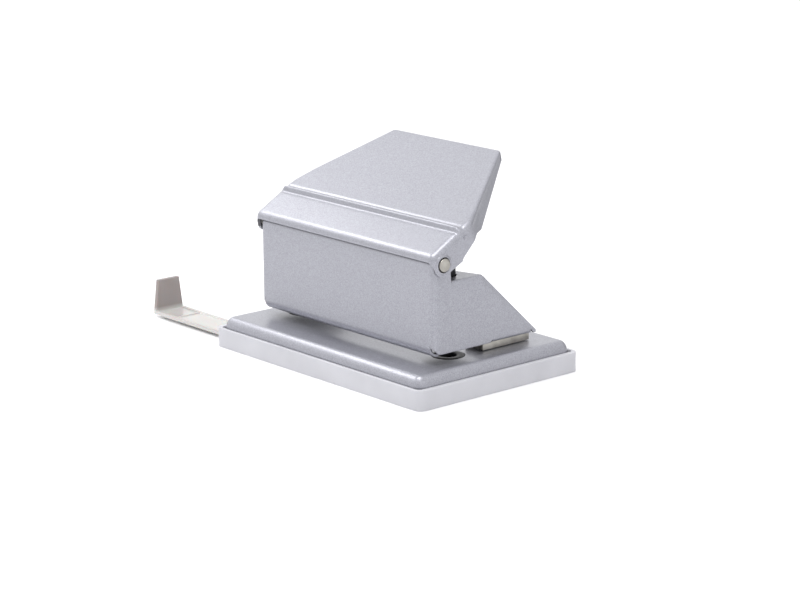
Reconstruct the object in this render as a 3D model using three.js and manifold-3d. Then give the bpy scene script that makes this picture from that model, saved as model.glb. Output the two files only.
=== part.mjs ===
// Two-hole paper punch: pressed steel body and lever on a sheet steel base, with a plastic chip tray
// that is also its foot. Millimetres, +Z up. The origin is the centre of the tray's underside.
// The front panel faces -Y, the handle rises towards +Y, and the paper gauge pulls out towards -X.
import * as THREE from "three";
import { mergeVertices } from "three/addons/utils/BufferGeometryUtils.js";
import Module from "manifold-3d";

const wasm = await Module();
wasm.setup();

// ---- Driving dimensions ----
const GAP = 0.3; // clearance between neighbouring pieces
const HOLE_SPACING = 80; // between the two punched holes
const HOLE_TO_STOP = 12; // from the middle of a hole to the edge of the sheet
const PAPER_SLOT = 2.45; // base plate to the front panel's rolled edge
const SIDE_LIFT = 1.05; // side panels' foot above that edge

const TRAY_DEPTH = 75.2;
const TRAY_HEIGHT = 7.2;
const TRAY_FLOOR = 1.2;
const TRAY_RIM = 1.8; // thickness of the wall round the base plate's skirt, at the ends
const TRAY_RIM_FRONT = 1.2; // the same at the front and the back
const TRAY_SEAT = 1.6; // width of the step that the skirt stands on
const TRAY_CORNER = 2.8;
const SEAT_TOP = 4.3;

const PLATE_TOP = 11.14;
const PLATE_SHEET = 1.2;
const PLATE_CORNER = 0.6; // corner radius of the flat top
const SHOULDER_OUT = 3.3; // how far the rolled edge spreads
const SHOULDER_DROP = 4.2; // how far it falls
const PLATE_MARGIN = 7.4; // base plate's edge to the body's side

const BODY_SHEET = 1;
const BODY_CORNER = 2.3;
const FRONT_SETBACK = 13.1; // base plate's front edge to the front panel
const REAR_SETBACK = 10.6; // base plate's back edge to the end of the side panels
const FRONT_ROLL = 3.6; // radius of the front panel's rolled bottom edge
const ROLL_LAND = 0.4; // flat behind that roll
const BODY_RISE = 25.16; // side panels' foot to their low rear top
const REAR_LIP = 0.9; // upright stretch at the foot of the sloped rear edge
const REAR_SLOPE = 43; // degrees
const POST_DEPTH = 8.35; // front panel to the back of the post that holds the axle
const SEAM_FLANGE = 10.5; // width of the flange riveted to the base
const GUIDE_FLANGE = 13.5; // width of the upper flange that steadies the pin
const SLIT = 0.6; // relief cut beside the rolled edge

const SIDE_TO_PIN = 7.8; // body's side to the pin's axis
const FRONT_TO_PIN = 13.7;
const PIN_RADIUS = 2.75;
const PIN_HEAD_RADIUS = PIN_RADIUS + 1.05;
const PIN_HEAD_HEIGHT = 2.4;
const PIN_TIP_RISE = 1.4; // tip above the paper slot
const CLIP_RISE = 17.8; // spring clip above the guide plate
const CLIP_THICKNESS = 0.8;
const CLIP_RADIUS = PIN_RADIUS + 2.15;
const GROOVE_DEPTH = 0.3;
const SPRING_WIRE = 0.9;
const SPRING_RADIUS = PIN_RADIUS + SPRING_WIRE / 2 + 0.55; // to the middle of the wire
const SPRING_TURNS = 6;

const DIE_RADIUS = PIN_RADIUS + 3.25;
const DIE_COLLAR = 1.6;
const DIE_COLLAR_HEIGHT = 1.2;

const GUIDE_SHEET = 1;
const GUIDE_WIDTH = 13.5;
const GUIDE_DEPTH = 13;
const GUIDE_LIP = 3; // height of the guide's front and back flanges
const GUIDE_TAB = 13; // height of the tab beside the side panel

const STOP_WIDTH = 9;
const STOP_INSET = 3; // body's side to the stop's outer face
const STOP_GAP = 0.5; // gap between the stop and the body above it
const RIVET_RADIUS = 2;
const RIVET_HEAD_RADIUS = 3.4;
const RIVET_HEAD = 1.1;

const AXLE_RADIUS = 2.375;
const PIVOT_SETBACK = BODY_SHEET + AXLE_RADIUS + 0.275; // front panel to the axle's axis
const PIVOT_RISE = 31.86; // side panels' foot to the axle's axis
const AXLE_PROUD = 0.9; // axle's end beyond the lever's ear

const LEVER_SHEET = 1.1;
const LEVER_CORNER = 2.2;
const BAND_SLOPE = 30; // degrees
const BAND_LENGTH = 12.9;
const HANDLE_SLOPE = 27.3; // degrees
const HANDLE_LENGTH = 43;
const HANDLE_END_HALF = 28.4; // half the handle's width at its end
const HANDLE_EDGE = 3.2; // depth of the flange at the handle's end
const TAPER_START = 14; // behind the axle
const LIP_RISE = 1.2; // lip's foot above the axle's axis
const BEAD_RADIUS = 1.3;
const BEAD_END = 2.5; // bead's end to the ear
const EAR_RADIUS = 4.15; // ear's round end under the axle
const EAR_STEP = 9.05; // small step in the ear's lower edge, behind the axle
const EAR_BACK = 15.7; // ear's back corner behind the axle
const EAR_UP = 8.3; // and above it
const FLANGE_BACK = 19.6; // where the flange's lower edge starts to climb, behind the axle
const FLANGE_UP = 8.9; // and above it
const COLLAR_RADIUS = 3.3; // raised ring round the axle
const COLLAR_HEIGHT = 0.4;
const BAR_RADIUS = 2.25;
const BAR_BACK = 9.75; // press bar behind the axle

const GAUGE_WIDTH = 12.7;
const GAUGE_THICKNESS = 1.5;
const GAUGE_LENGTH = 107.6; // inner face of the stop to the strip's inner end
const GAUGE_REACH = 105; // centre of the punch to the stop, half of a 210 mm sheet
const GAUGE_SETBACK = 11.8; // base plate's front edge to the strip's middle
const GAUGE_RAIL = 1.3; // width of the raised rails
const GAUGE_RECESS = 0.5; // depth between the rails
const GAUGE_RIB = 12; // stop to the cross rib
const GAUGE_STOP_HEIGHT = 12;
const GAUGE_STOP_TOP = 9.6; // width at the top
const GAUGE_STOP_THICKNESS = 1.8;
const CHANNEL_FLOOR = 0.8;
const CHANNEL_WALL = 1.2;
const CHANNEL_BRIDGE = 1.1;
const BRIDGE_WIDTH = 8;

// ---- Places worked out from them ----
function radians(degrees) {
  return THREE.MathUtils.degToRad(degrees);
}
// A step from a place in Y and Z, up a slope.
function along(start, slope, length) {
  return [start[0] + length * Math.cos(radians(slope)), start[1] + length * Math.sin(radians(slope))];
}
const pinX = HOLE_SPACING / 2;
const bodyHalf = pinX + SIDE_TO_PIN;
const plateHalf = bodyHalf + PLATE_MARGIN;
const trayHalf = plateHalf + GAP + TRAY_RIM;
const trayHalfDepth = TRAY_DEPTH / 2;
const plateHalfDepth = trayHalfDepth - GAP - TRAY_RIM_FRONT;
const frontY = FRONT_SETBACK - plateHalfDepth;
const rearY = plateHalfDepth - REAR_SETBACK;
const pinY = frontY + FRONT_TO_PIN;
const stopY = pinY + HOLE_TO_STOP;
const postY = frontY + POST_DEPTH;
const slotTop = PLATE_TOP + PAPER_SLOT;
const sideFoot = slotTop + SIDE_LIFT;
const bodyTop = sideFoot + BODY_RISE;
const pivotY = frontY + PIVOT_SETBACK;
const pivotZ = sideFoot + PIVOT_RISE;
const slopeTopY = rearY - (BODY_RISE - REAR_LIP) / Math.tan(radians(REAR_SLOPE));
const plateUnder = PLATE_TOP - PLATE_SHEET;
const guideZ = sideFoot + GAP;
const clipZ = guideZ + CLIP_RISE;
const earHalf = bodyHalf + GAP + LEVER_SHEET;
const barY = pivotY + BAR_BACK;
const bandStart = [pivotY - 3.25, pivotZ + 4.3];
const beadPlace = along(bandStart, BAND_SLOPE, BAND_LENGTH);
const handleEnd = along(beadPlace, HANDLE_SLOPE, HANDLE_LENGTH);
const overBar = along(beadPlace, HANDLE_SLOPE, (barY - beadPlace[0]) / Math.cos(radians(HANDLE_SLOPE)));
const barZ = overBar[1] - (LEVER_SHEET + GAP + BAR_RADIUS) / Math.cos(radians(HANDLE_SLOPE));
const pinTopZ = barZ - BAR_RADIUS - GAP;
const gaugeY = GAUGE_SETBACK - plateHalfDepth;
const gaugeZ = CHANNEL_FLOOR + GAP;
const gaugeTop = gaugeZ + GAUGE_THICKNESS;

// ---- Solid helpers ----
const SEGMENTS = 24;

function solid(geometry) {
  const bare = geometry.clone();
  bare.deleteAttribute("normal");
  bare.deleteAttribute("uv");
  const merged = mergeVertices(bare, 1e-4);
  return new wasm.Manifold(
    new wasm.Mesh({
      numProp: 3,
      vertProperties: merged.attributes.position.array,
      triVerts: new Uint32Array(merged.index.array),
    }),
  );
}

function geometryOf(manifold) {
  const mesh = manifold.getMesh();
  const geometry = new THREE.BufferGeometry();
  geometry.setAttribute("position", new THREE.BufferAttribute(mesh.vertProperties, 3));
  geometry.setIndex(new THREE.BufferAttribute(mesh.triVerts, 1));
  geometry.computeVertexNormals();
  return geometry;
}

function block(x0, x1, y0, y1, z0, z1) {
  const box = new THREE.BoxGeometry(x1 - x0, y1 - y0, z1 - z0);
  box.translate((x0 + x1) / 2, (y0 + y1) / 2, (z0 + z1) / 2);
  return solid(box);
}

// A cylinder along X between x0 and x1.
function rodX(radius, x0, x1, y, z) {
  const rod = new THREE.CylinderGeometry(radius, radius, x1 - x0, SEGMENTS);
  rod.rotateZ(-Math.PI / 2);
  rod.translate((x0 + x1) / 2, y, z);
  return solid(rod);
}

// A cylinder along Z between z0 and z1.
function rodZ(radius, z0, z1, x, y) {
  const rod = new THREE.CylinderGeometry(radius, radius, z1 - z0, SEGMENTS);
  rod.rotateX(Math.PI / 2);
  rod.translate(x, y, (z0 + z1) / 2);
  return solid(rod);
}

// A shape drawn in Y and Z, pushed along X.
function prismX(shape, x0, x1) {
  const body = new THREE.ExtrudeGeometry(shape, { depth: x1 - x0, bevelEnabled: false });
  const turn = new THREE.Matrix4().makeBasis(
    new THREE.Vector3(0, 1, 0),
    new THREE.Vector3(0, 0, 1),
    new THREE.Vector3(1, 0, 0),
  );
  body.applyMatrix4(turn);
  body.translate(x0, 0, 0);
  return solid(body);
}

// A shape drawn in X and Y, pushed along Z.
function prismZ(shape, z0, z1) {
  const body = new THREE.ExtrudeGeometry(shape, { depth: z1 - z0, bevelEnabled: false });
  body.translate(0, 0, z0);
  return solid(body);
}

// A solid of revolution about the vertical through (x, y); the profile climbs from the axis to the axis.
function turned(profile, x, y) {
  const body = new THREE.LatheGeometry(
    profile.map(([r, z]) => new THREE.Vector2(r, z)),
    SEGMENTS,
  );
  body.rotateX(Math.PI / 2);
  body.translate(x, y, 0);
  return solid(body);
}

function polygon(points) {
  return new THREE.Shape(points.map(([a, b]) => new THREE.Vector2(a, b)));
}

// Points on an arc, with its angles counted in quarter turns.
function arc(x, y, radius, from, to, steps = 6) {
  const quarter = Math.PI / 2;
  const curve = new THREE.EllipseCurve(x, y, radius, radius, from * quarter, to * quarter);
  return curve.getPoints(steps).map((point) => [point.x, point.y]);
}

function roundedRectangle(halfX, halfY, radius, steps = 6) {
  const x = halfX - radius;
  const y = halfY - radius;
  return polygon([
    ...arc(x, y, radius, 0, 1, steps),
    ...arc(-x, y, radius, 1, 2, steps),
    ...arc(-x, -y, radius, 2, 3, steps),
    ...arc(x, -y, radius, 3, 4, steps),
  ]);
}

// The points of an open line moved sideways by a distance, to its right as it is walked.
function offsetLine(points, distance) {
  const normals = points.slice(1).map(([a, b], i) => {
    const run = new THREE.Vector2(a - points[i][0], b - points[i][1]).normalize();
    return new THREE.Vector2(run.y, -run.x);
  });
  return points.map(([a, b], i) => {
    const before = normals[Math.max(i - 1, 0)];
    const after = normals[Math.min(i, normals.length - 1)];
    const mitre = before.clone().add(after).normalize();
    const reach = distance / mitre.dot(after);
    return [a + mitre.x * reach, b + mitre.y * reach];
  });
}

// ---- Materials ----
function finish(color, roughness, metalness) {
  return new THREE.MeshStandardMaterial({ color, roughness, metalness });
}
const silver = finish(0xbcbcc4, 0.42, 0.6);
const zinc = finish(0xb6b3ac, 0.3, 0.9);
const blackSteel = finish(0x2a2a2c, 0.35, 0.8);
const springSteel = finish(0x8d8d90, 0.3, 0.9);
const whitePlastic = finish(0xdcdde1, 0.5, 0);
const greyPlastic = finish(0xb4aeab, 0.35, 0);

const punch = new THREE.Group();
function add(name, manifold, material) {
  const mesh = new THREE.Mesh(geometryOf(manifold), material);
  mesh.name = name;
  punch.add(mesh);
}
const SIDES = [
  ["left", -1],
  ["right", 1],
];

// ---- Chip tray ----
// A shallow box whose stepped wall takes the base plate's skirt. Two ribs along its front make the
// channel that the paper gauge slides in, under three bridges.
function chipTray() {
  const seatHalf = trayHalf - TRAY_RIM - TRAY_SEAT;
  const seatHalfDepth = trayHalfDepth - TRAY_RIM_FRONT - TRAY_SEAT;
  const channelHalf = GAUGE_WIDTH / 2 + GAP;
  const bridgeZ = gaugeTop + GAP;
  const ribTop = bridgeZ + CHANNEL_BRIDGE;
  let tray = prismZ(roundedRectangle(trayHalf, trayHalfDepth, TRAY_CORNER), 0, TRAY_HEIGHT)
    .subtract(
      prismZ(
        roundedRectangle(trayHalf - TRAY_RIM, trayHalfDepth - TRAY_RIM_FRONT, TRAY_CORNER - TRAY_RIM_FRONT),
        SEAT_TOP,
        TRAY_HEIGHT + 1,
      ),
    )
    .subtract(prismZ(roundedRectangle(seatHalf, seatHalfDepth, 1.2), TRAY_FLOOR, SEAT_TOP + 1));
  for (const side of [-1, 1]) {
    const near = gaugeY + side * channelHalf;
    const far = near + side * CHANNEL_WALL;
    tray = tray.add(
      block(-seatHalf - 0.5, seatHalf + 0.5, Math.min(near, far), Math.max(near, far), TRAY_FLOOR / 2, ribTop),
    );
  }
  tray = tray.subtract(
    block(-trayHalf - 1, seatHalf - 2, gaugeY - channelHalf, gaugeY + channelHalf, CHANNEL_FLOOR, bridgeZ),
  );
  for (const x of [-0.85, -0.12, 0.61]) {
    const middle = x * seatHalf;
    const reach = channelHalf + CHANNEL_WALL / 2;
    tray = tray.add(
      block(middle - BRIDGE_WIDTH / 2, middle + BRIDGE_WIDTH / 2, gaugeY - reach, gaugeY + reach, bridgeZ, ribTop),
    );
  }
  return tray;
}
add("chip_tray", chipTray(), whitePlastic);

// ---- Base plate ----
// A sheet pan with a rolled edge all round: the flat top falls away in a quarter ellipse to a short skirt.
function platePan(inset) {
  const top = roundedRectangle(
    plateHalf - SHOULDER_OUT - inset,
    plateHalfDepth - SHOULDER_OUT - inset,
    Math.max(PLATE_CORNER - inset, 0.25),
    3,
  );
  const pan = new THREE.ExtrudeGeometry(top, {
    depth: 12,
    bevelThickness: SHOULDER_DROP,
    bevelSize: SHOULDER_OUT,
    bevelSegments: 4,
  });
  pan.translate(0, 0, PLATE_TOP - inset - SHOULDER_DROP - 12);
  return solid(pan);
}
const skirtFoot = SEAT_TOP + GAP;
let basePlate = platePan(0)
  .subtract(platePan(PLATE_SHEET))
  .intersect(block(-plateHalf - 1, plateHalf + 1, -TRAY_DEPTH, TRAY_DEPTH, skirtFoot, PLATE_TOP + 1));
const stopOuter = bodyHalf - STOP_INSET;
const rivetX = stopOuter - STOP_WIDTH / 2;
const rivetFrontY = stopY + RIVET_HEAD_RADIUS + 1.2;
const rivetRearY = rearY - RIVET_HEAD_RADIUS - 1.6;
for (const [, side] of SIDES) {
  basePlate = basePlate.subtract(rodZ(DIE_RADIUS + GAP, plateUnder - 1, PLATE_TOP + 1, side * pinX, pinY));
  for (const y of [rivetFrontY, rivetRearY])
    basePlate = basePlate.subtract(
      rodZ(RIVET_RADIUS + GAP, plateUnder - 1, PLATE_TOP + 1, side * rivetX, y),
    );
}
add("base_plate", basePlate, silver);

// ---- Dies, paper stops and rivets ----
const dieTop = PLATE_TOP + 0.1;
const dieFoot = plateUnder - GAP - DIE_COLLAR_HEIGHT;
const stopFoot = PLATE_TOP + GAP;
const stopTop = sideFoot - STOP_GAP;
for (const [name, side] of SIDES) {
  const die = rodZ(DIE_RADIUS, dieFoot, dieTop, side * pinX, pinY)
    .add(rodZ(DIE_RADIUS + DIE_COLLAR, dieFoot, dieFoot + DIE_COLLAR_HEIGHT, side * pinX, pinY))
    .subtract(rodZ(PIN_RADIUS + GAP, dieFoot - 1, dieTop + 1, side * pinX, pinY));
  add("die_" + name, die, zinc);

  let stop = block(
    Math.min(side * stopOuter, side * (stopOuter - STOP_WIDTH)),
    Math.max(side * stopOuter, side * (stopOuter - STOP_WIDTH)),
    stopY,
    rearY - 0.6,
    stopFoot,
    stopTop,
  );
  for (const y of [rivetFrontY, rivetRearY])
    stop = stop.subtract(rodZ(RIVET_RADIUS + GAP, stopFoot - 1, stopTop + 1, side * rivetX, y));
  add("paper_stop_" + name, stop, zinc);

  const upperHead = sideFoot + BODY_SHEET + GAP;
  const lowerHead = plateUnder - GAP;
  const rivets = [
    ["front", rivetFrontY],
    ["rear", rivetRearY],
  ];
  for (const [place, y] of rivets) {
    const rivet = turned(
      [
        [0, lowerHead - RIVET_HEAD],
        [RIVET_HEAD_RADIUS * 0.75, lowerHead - RIVET_HEAD],
        [RIVET_HEAD_RADIUS, lowerHead],
        [RIVET_RADIUS, lowerHead],
        [RIVET_RADIUS, upperHead],
        [RIVET_HEAD_RADIUS, upperHead],
        [RIVET_HEAD_RADIUS * 0.75, upperHead + RIVET_HEAD],
        [0, upperHead + RIVET_HEAD],
      ],
      side * rivetX,
      y,
    );
    add("rivet_" + name + "_" + place, rivet, zinc);
  }
}

// ---- Body shell ----
// One sheet bent into a U in plan: front panel and two sides. The front's bottom edge rolls inward,
// the sides carry a riveted flange below and a flange with a pin hole above.
function bodyPlan(inset) {
  const half = bodyHalf - inset;
  const corner = BODY_CORNER - inset;
  const cornerY = frontY + BODY_CORNER;
  return polygon([
    [-half, rearY + 2],
    ...arc(corner - half, cornerY, corner, 2, 3),
    ...arc(half - corner, cornerY, corner, 3, 4),
    [half, rearY + 2],
  ]);
}
function bodyShell() {
  const rollY = frontY + FRONT_ROLL;
  const rollZ = slotTop + FRONT_ROLL;
  const outline = polygon([
    [rearY, sideFoot],
    [rearY, sideFoot + REAR_LIP],
    [slopeTopY, bodyTop],
    [postY, bodyTop],
    [postY, pivotZ - 2.1],
    ...arc(pivotY, pivotZ, PIVOT_SETBACK, 0, 2, 12),
    ...arc(rollY, rollZ, FRONT_ROLL, 2, 3),
    [rollY + ROLL_LAND, slotTop],
    [rollY + ROLL_LAND, sideFoot],
  ]);
  const hollow = polygon([
    [rearY + 1, pivotZ + 10],
    [frontY + BODY_SHEET, pivotZ + 10],
    ...arc(rollY, rollZ, FRONT_ROLL - BODY_SHEET, 2, 3),
    [rollY + ROLL_LAND, slotTop + BODY_SHEET],
    [rollY + ROLL_LAND, slotTop - 1],
    [rearY + 1, slotTop - 1],
  ]);

  const innerHalf = bodyHalf - BODY_SHEET;
  let shell = prismX(outline, -bodyHalf, bodyHalf)
    .intersect(prismZ(bodyPlan(0), slotTop - 1, pivotZ + 10))
    .subtract(
      prismX(hollow, -innerHalf, innerHalf).intersect(prismZ(bodyPlan(BODY_SHEET), slotTop - 2, pivotZ + 11)),
    );
  for (const [, side] of SIDES) {
    const seam = [side * (bodyHalf - SEAM_FLANGE), side * (bodyHalf - BODY_SHEET / 2)];
    shell = shell.add(
      block(Math.min(...seam), Math.max(...seam), stopY + 1, rearY - 0.8, sideFoot, sideFoot + BODY_SHEET),
    );
    const flange = polygon(
      [
        [bodyHalf - BODY_SHEET / 2, postY],
        [bodyHalf - BODY_SHEET / 2, slopeTopY - 0.2],
        [bodyHalf - GUIDE_FLANGE, slopeTopY - 4.5],
        [bodyHalf - GUIDE_FLANGE, postY],
      ].map(([x, y]) => [side * x, y]),
    );
    shell = shell
      .add(prismZ(flange, bodyTop - BODY_SHEET, bodyTop))
      .subtract(rodZ(PIN_RADIUS + GAP, bodyTop - 2, bodyTop + 1, side * pinX, pinY));
    const slitX = bodyHalf - BODY_CORNER;
    const slit = [side * slitX, side * (slitX - SLIT)];
    const under = [side * slitX, side * (bodyHalf + 1)];
    const rollEnd = rollY + ROLL_LAND + 0.1;
    shell = shell
      .subtract(block(Math.min(...slit), Math.max(...slit), frontY - 1, rollEnd, slotTop - 1, rollZ))
      .subtract(block(Math.min(...under), Math.max(...under), frontY - 1, rollEnd, slotTop - 1, sideFoot));
    for (const y of [rivetFrontY, rivetRearY])
      shell = shell.subtract(
        rodZ(RIVET_RADIUS + GAP, slotTop - 1, sideFoot + BODY_SHEET + 1, side * rivetX, y),
      );
  }
  return shell.subtract(rodX(AXLE_RADIUS + GAP, -bodyHalf - 1, bodyHalf + 1, pivotY, pivotZ));
}
add("body_shell", bodyShell(), silver);

// ---- Pin guides ----
// A small pan beside each side panel, just above the paper: it guides the pin and seats its spring.
function pinGuide(side) {
  const outer = side * (bodyHalf - BODY_SHEET - GAP);
  const inner = outer - side * GUIDE_WIDTH;
  const tab = outer - side * GUIDE_SHEET;
  const across = [Math.min(outer, inner), Math.max(outer, inner)];
  const frontEdge = pinY - GUIDE_DEPTH / 2;
  const rearEdge = pinY + GUIDE_DEPTH / 2;
  return block(...across, frontEdge, rearEdge, guideZ, guideZ + GUIDE_SHEET)
    .add(block(...across, frontEdge, frontEdge + GUIDE_SHEET, guideZ, guideZ + GUIDE_LIP))
    .add(block(...across, rearEdge - GUIDE_SHEET, rearEdge, guideZ, guideZ + GUIDE_LIP))
    .add(block(Math.min(outer, tab), Math.max(outer, tab), frontEdge, rearEdge, guideZ, guideZ + GUIDE_TAB))
    .subtract(rodZ(PIN_RADIUS + GAP, guideZ - 1, guideZ + GUIDE_SHEET + 1, side * pinX, pinY));
}
for (const [name, side] of SIDES) add("pin_guide_" + name, pinGuide(side), zinc);

// ---- Punch pins, their springs and clips ----
const grooveFoot = clipZ - GAP;
const grooveTop = clipZ + CLIP_THICKNESS + GAP;
const grooveRadius = PIN_RADIUS - GROOVE_DEPTH;
const springFoot = guideZ + GUIDE_SHEET + GAP + SPRING_WIRE / 2;
const springTop = clipZ - GAP - SPRING_WIRE / 2;

class Helix extends THREE.Curve {
  getPoint(t, target = new THREE.Vector3()) {
    const angle = t * SPRING_TURNS * Math.PI * 2;
    const height = springFoot + t * (springTop - springFoot);
    return target.set(SPRING_RADIUS * Math.cos(angle), SPRING_RADIUS * Math.sin(angle), height);
  }
}
function coil(x, y) {
  const wire = polygon(arc(0, 0, SPRING_WIRE / 2, 0, 4, 6).slice(1));
  const spring = new THREE.ExtrudeGeometry(wire, { steps: SPRING_TURNS * 12, extrudePath: new Helix() });
  spring.translate(x, y, 0);
  return solid(spring);
}
for (const [name, side] of SIDES) {
  const x = side * pinX;
  const tip = slotTop + PIN_TIP_RISE;
  const pin = turned(
    [
      [0, tip + 1],
      [PIN_RADIUS, tip],
      [PIN_RADIUS, grooveFoot],
      [grooveRadius, grooveFoot],
      [grooveRadius, grooveTop],
      [PIN_RADIUS, grooveTop],
      [PIN_RADIUS, pinTopZ - PIN_HEAD_HEIGHT],
      [PIN_HEAD_RADIUS, pinTopZ - PIN_HEAD_HEIGHT],
      [PIN_HEAD_RADIUS, pinTopZ - 0.5],
      [PIN_HEAD_RADIUS - 0.5, pinTopZ],
      [0, pinTopZ],
    ],
    x,
    pinY,
  );
  add("pin_" + name, pin, blackSteel);
  add("spring_" + name, coil(x, pinY), springSteel);

  const mouth = grooveRadius + GAP;
  const clip = rodZ(CLIP_RADIUS, clipZ, clipZ + CLIP_THICKNESS, x, pinY)
    .subtract(rodZ(mouth, clipZ - 1, clipZ + 2, x, pinY))
    .subtract(block(x - mouth, x + mouth, pinY, pinY + CLIP_RADIUS + 1, clipZ - 1, clipZ + 2));
  add("spring_clip_" + name, clip, springSteel);
}

// ---- Axle and its clips ----
const axleEnd = earHalf + AXLE_PROUD;
const axleClipX = bodyHalf - BODY_SHEET - 0.7;
const axleGroove = AXLE_RADIUS - GROOVE_DEPTH;
let axle = rodX(AXLE_RADIUS, -axleEnd, axleEnd, pivotY, pivotZ);
for (const [name, side] of SIDES) {
  const grooveOuter = axleClipX + GAP;
  const grooveInner = axleClipX - CLIP_THICKNESS - GAP;
  const ring = [side * grooveOuter, side * grooveInner];
  const band = rodX(AXLE_RADIUS + 1, Math.min(...ring), Math.max(...ring), pivotY, pivotZ).subtract(
    rodX(axleGroove, Math.min(...ring) - 1, Math.max(...ring) + 1, pivotY, pivotZ),
  );
  axle = axle.subtract(band);

  const span = [side * axleClipX, side * (axleClipX - CLIP_THICKNESS)];
  const mouth = axleGroove + GAP;
  const clip = rodX(AXLE_RADIUS + 1.7, Math.min(...span), Math.max(...span), pivotY, pivotZ)
    .subtract(rodX(mouth, Math.min(...span) - 1, Math.max(...span) + 1, pivotY, pivotZ))
    .subtract(
      block(
        Math.min(...span) - 1,
        Math.max(...span) + 1,
        pivotY - AXLE_RADIUS - 3,
        pivotY - 0.8,
        pivotZ - AXLE_RADIUS - 3,
        pivotZ + AXLE_RADIUS + 3,
      ),
    );
  add("axle_clip_" + name, clip, springSteel);
}
add("axle", axle, zinc);

// ---- Lever ----
// A pressed pan: a lip over the front panel, a sloped band, a raised bead, and a handle that narrows
// to its end. Its sides drop as flanges, which grow into the two ears that turn on the axle.
const leverFront = frontY - GAP - LEVER_SHEET;
function leverTopLine() {
  const lipTop = bandStart[1] - (bandStart[0] - leverFront) * Math.tan(radians(BAND_SLOPE));
  const round = new THREE.QuadraticBezierCurve(
    new THREE.Vector2(leverFront, pivotZ + LIP_RISE + 0.7),
    new THREE.Vector2(leverFront, lipTop),
    new THREE.Vector2(...bandStart),
  ).getPoints(4);
  return [[leverFront, pivotZ + LIP_RISE], ...round.map((p) => [p.x, p.y]), beadPlace, handleEnd];
}
function leverSide() {
  const top = leverTopLine();
  return polygon([
    top[0],
    ...arc(pivotY, pivotZ, EAR_RADIUS, 2.1, 3.46),
    [pivotY + EAR_STEP - 0.4, pivotZ - 0.2],
    [pivotY + EAR_STEP, pivotZ + 0.9],
    [pivotY + EAR_BACK - 0.8, pivotZ + EAR_UP - 1.3],
    [pivotY + EAR_BACK, pivotZ + EAR_UP],
    [pivotY + FLANGE_BACK, pivotZ + FLANGE_UP],
    [handleEnd[0], handleEnd[1] - HANDLE_EDGE],
    ...top.slice(1).reverse(),
  ]);
}
function leverHollow() {
  const under = offsetLine(leverTopLine(), LEVER_SHEET);
  const end = under.length - 1;
  under[end] = along(under[end], HANDLE_SLOPE, -LEVER_SHEET);
  return polygon([[under[0][0], pivotZ - 20], ...under, [under[end][0], pivotZ - 20]]);
}
function leverPlan(inset) {
  const edge = offsetLine(
    [
      [earHalf, leverFront - 5],
      [earHalf, pivotY + TAPER_START],
      [HANDLE_END_HALF, handleEnd[0]],
    ],
    -inset,
  );
  const half = earHalf - inset;
  const corner = LEVER_CORNER - inset;
  const cornerY = leverFront + LEVER_CORNER;
  return polygon([
    ...arc(corner - half, cornerY, corner, 2, 3),
    ...arc(half - corner, cornerY, corner, 3, 4),
    edge[1],
    edge[2],
    [-edge[2][0], edge[2][1]],
    [-edge[1][0], edge[1][1]],
  ]);
}
function lever() {
  const low = pivotZ - 30;
  const high = handleEnd[1] + 10;
  let body = prismX(leverSide(), -earHalf - 1, earHalf + 1)
    .intersect(prismZ(leverPlan(0), low, high))
    .subtract(prismX(leverHollow(), -earHalf - 1, earHalf + 1).intersect(prismZ(leverPlan(LEVER_SHEET), low, high)))
    .subtract(
      block(LEVER_SHEET - earHalf, earHalf - LEVER_SHEET, leverFront - 1, pivotY, low, pivotZ + LIP_RISE),
    )
    .add(rodX(BEAD_RADIUS, BEAD_END - earHalf, earHalf - BEAD_END, beadPlace[0], beadPlace[1] + 0.2));
  for (const [, side] of SIDES) {
    const ring = [side * (earHalf - 0.5), side * (earHalf + COLLAR_HEIGHT)];
    body = body.add(rodX(COLLAR_RADIUS, Math.min(...ring), Math.max(...ring), pivotY, pivotZ));
  }
  return body.subtract(rodX(AXLE_RADIUS + GAP, -earHalf - 2, earHalf + 2, pivotY, pivotZ));
}
add("lever", lever(), silver);

const barHalf = earHalf - LEVER_SHEET - GAP;
add("press_bar", rodX(BAR_RADIUS, -barHalf, barHalf, barY, barZ), zinc);

// ---- Paper gauge ----
// A flat strip with raised rails and an upright stop at its outer end.
function paperGauge() {
  const half = GAUGE_WIDTH / 2;
  const stopX = -GAUGE_REACH;
  const floor = gaugeTop - GAUGE_RECESS;
  const ribX = stopX + GAUGE_RIB;
  const recess = [gaugeY - half + GAUGE_RAIL, gaugeY + half - GAUGE_RAIL, floor, gaugeTop + 1];
  const stop = polygon([
    [gaugeY - half, gaugeZ],
    [gaugeY + half, gaugeZ],
    [gaugeY + half, gaugeTop],
    [gaugeY + GAUGE_STOP_TOP / 2, gaugeTop + GAUGE_STOP_HEIGHT],
    [gaugeY - GAUGE_STOP_TOP / 2, gaugeTop + GAUGE_STOP_HEIGHT],
    [gaugeY - half, gaugeTop],
  ]);
  return block(stopX - 0.5, stopX + GAUGE_LENGTH, gaugeY - half, gaugeY + half, gaugeZ, gaugeTop)
    .subtract(block(stopX, ribX, ...recess))
    .subtract(block(ribX + 0.8, stopX + GAUGE_LENGTH - 2, ...recess))
    .add(prismX(stop, stopX - GAUGE_STOP_THICKNESS, stopX));
}
add("paper_gauge", paperGauge(), greyPlastic);

export default punch;
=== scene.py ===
import bmesh
import bpy
import math
from mathutils import Matrix, Vector


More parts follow.
